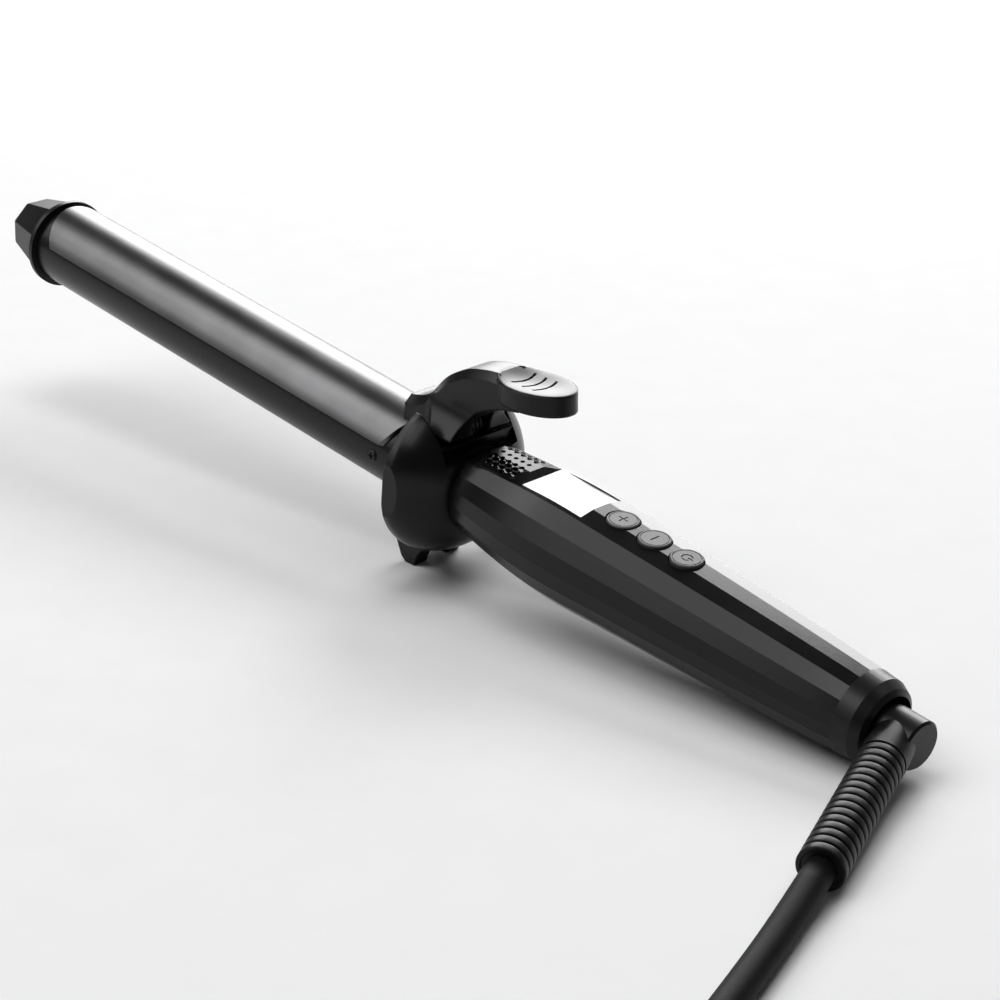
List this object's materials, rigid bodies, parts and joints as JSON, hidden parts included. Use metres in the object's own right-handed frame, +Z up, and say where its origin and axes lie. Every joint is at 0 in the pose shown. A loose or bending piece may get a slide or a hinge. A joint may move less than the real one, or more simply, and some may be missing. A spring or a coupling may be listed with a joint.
{
  "type": "curling iron",
  "caption": "Hand-held curling iron: heated barrel with sprung clip and thumb lever, domed guard, faceted handle with display and buttons, swivel cord coiled with its plug.",
  "frame": {"origin": "middle of the iron's footprint, on the surface it rests on", "axes": "+X from the barrel's tip towards the cord end, +Z up"},
  "size_m": [0.5258, 0.2055, 0.0654],
  "materials": {
    "black_plastic": "satin, faintly grained",
    "gloss_black": "smooth",
    "coated_metal": "black ceramic coating, satin",
    "spring_steel": "bright",
    "bare_aluminium": "extruded",
    "heater_ceramic": "fired",
    "insulator": "moulded phenolic",
    "display_plastic": "blank, white",
    "board": "laminate",
    "component": "moulded",
    "brass": "plain",
    "cord_rubber": "matt",
    "wire": "silicone"
  },
  "bodies": {
    "iron": {"tip_cap": "black_plastic", "tip_ring": "black_plastic", "barrel_tube": "coated_metal", "heater_plate": "heater_ceramic", "heat_spreader_upper": "bare_aluminium", "heat_spreader_lower": "bare_aluminium", "thermistor": "heater_ceramic", "thermal_fuse": "brass", "heater_leads": "wire", "barrel_socket": "insulator", "barrel_screws": "spring_steel", "hinge_pin": "spring_steel", "lever_spring": "spring_steel", "guard": "black_plastic", "stand_feet": "black_plastic", "handle_upper_shell": "black_plastic", "handle_lower_shell": "black_plastic", "shell_screws": "spring_steel", "vent_grille": "black_plastic", "display_window": "display_plastic", "display_module": "component", "control_board": "board", "board_screws": "spring_steel", "button_switches": "component", "power_capacitor": "component", "power_triac": "component", "power_module": "component", "terminal_block": "insulator", "supply_wires": "wire", "contact_carrier": "insulator", "contact_springs": "brass", "end_cap": "black_plastic", "cord_coil": "cord_rubber", "cord_tail": "cord_rubber", "cord_tie": "black_plastic", "plug_body": "cord_rubber", "plug_pins": "brass"},
    "clip": {"clip_spoon": "coated_metal", "clip_rivets": "spring_steel", "lever": "black_plastic", "thumb_pad": "gloss_black"},
    "plus_key": {"plus_button": "gloss_black"},
    "minus_key": {"minus_button": "gloss_black"},
    "power_key": {"power_button": "gloss_black"},
    "swivel": {"swivel_body": "black_plastic", "swivel_retainer": "gloss_black", "slip_rings": "brass", "cord_boot": "cord_rubber", "cord_free": "cord_rubber"}
  },
  "joints": [
    {"name": "clip_hinge", "type": "hinge", "parent": "iron", "child": "clip", "pos_m": [0.02663, 0, 0.04536], "axis": [0, 1, 0], "range_deg": [0, 20], "stiffness_Nm_per_rad": 0.6, "springref_deg": -17.19, "deforming": ["lever_spring"]},
    {"name": "plus_press", "type": "slide", "parent": "iron", "child": "plus_key", "axis": [-0.1183, 0, -0.993], "range_m": [0, 0.0006], "stiffness_N_per_m": 1500, "springref_m": -0.0004},
    {"name": "minus_press", "type": "slide", "parent": "iron", "child": "minus_key", "axis": [-0.1183, 0, -0.993], "range_m": [0, 0.0006], "stiffness_N_per_m": 1500, "springref_m": -0.0004},
    {"name": "power_press", "type": "slide", "parent": "iron", "child": "power_key", "axis": [-0.1183, 0, -0.993], "range_m": [0, 0.0006], "stiffness_N_per_m": 1500, "springref_m": -0.0004},
    {"name": "cord_swivel", "type": "hinge", "parent": "iron", "child": "swivel", "pos_m": [0.16908, 0, 0.01106], "axis": [-0.993, 0, 0.1183], "continuous": true}
  ]
}
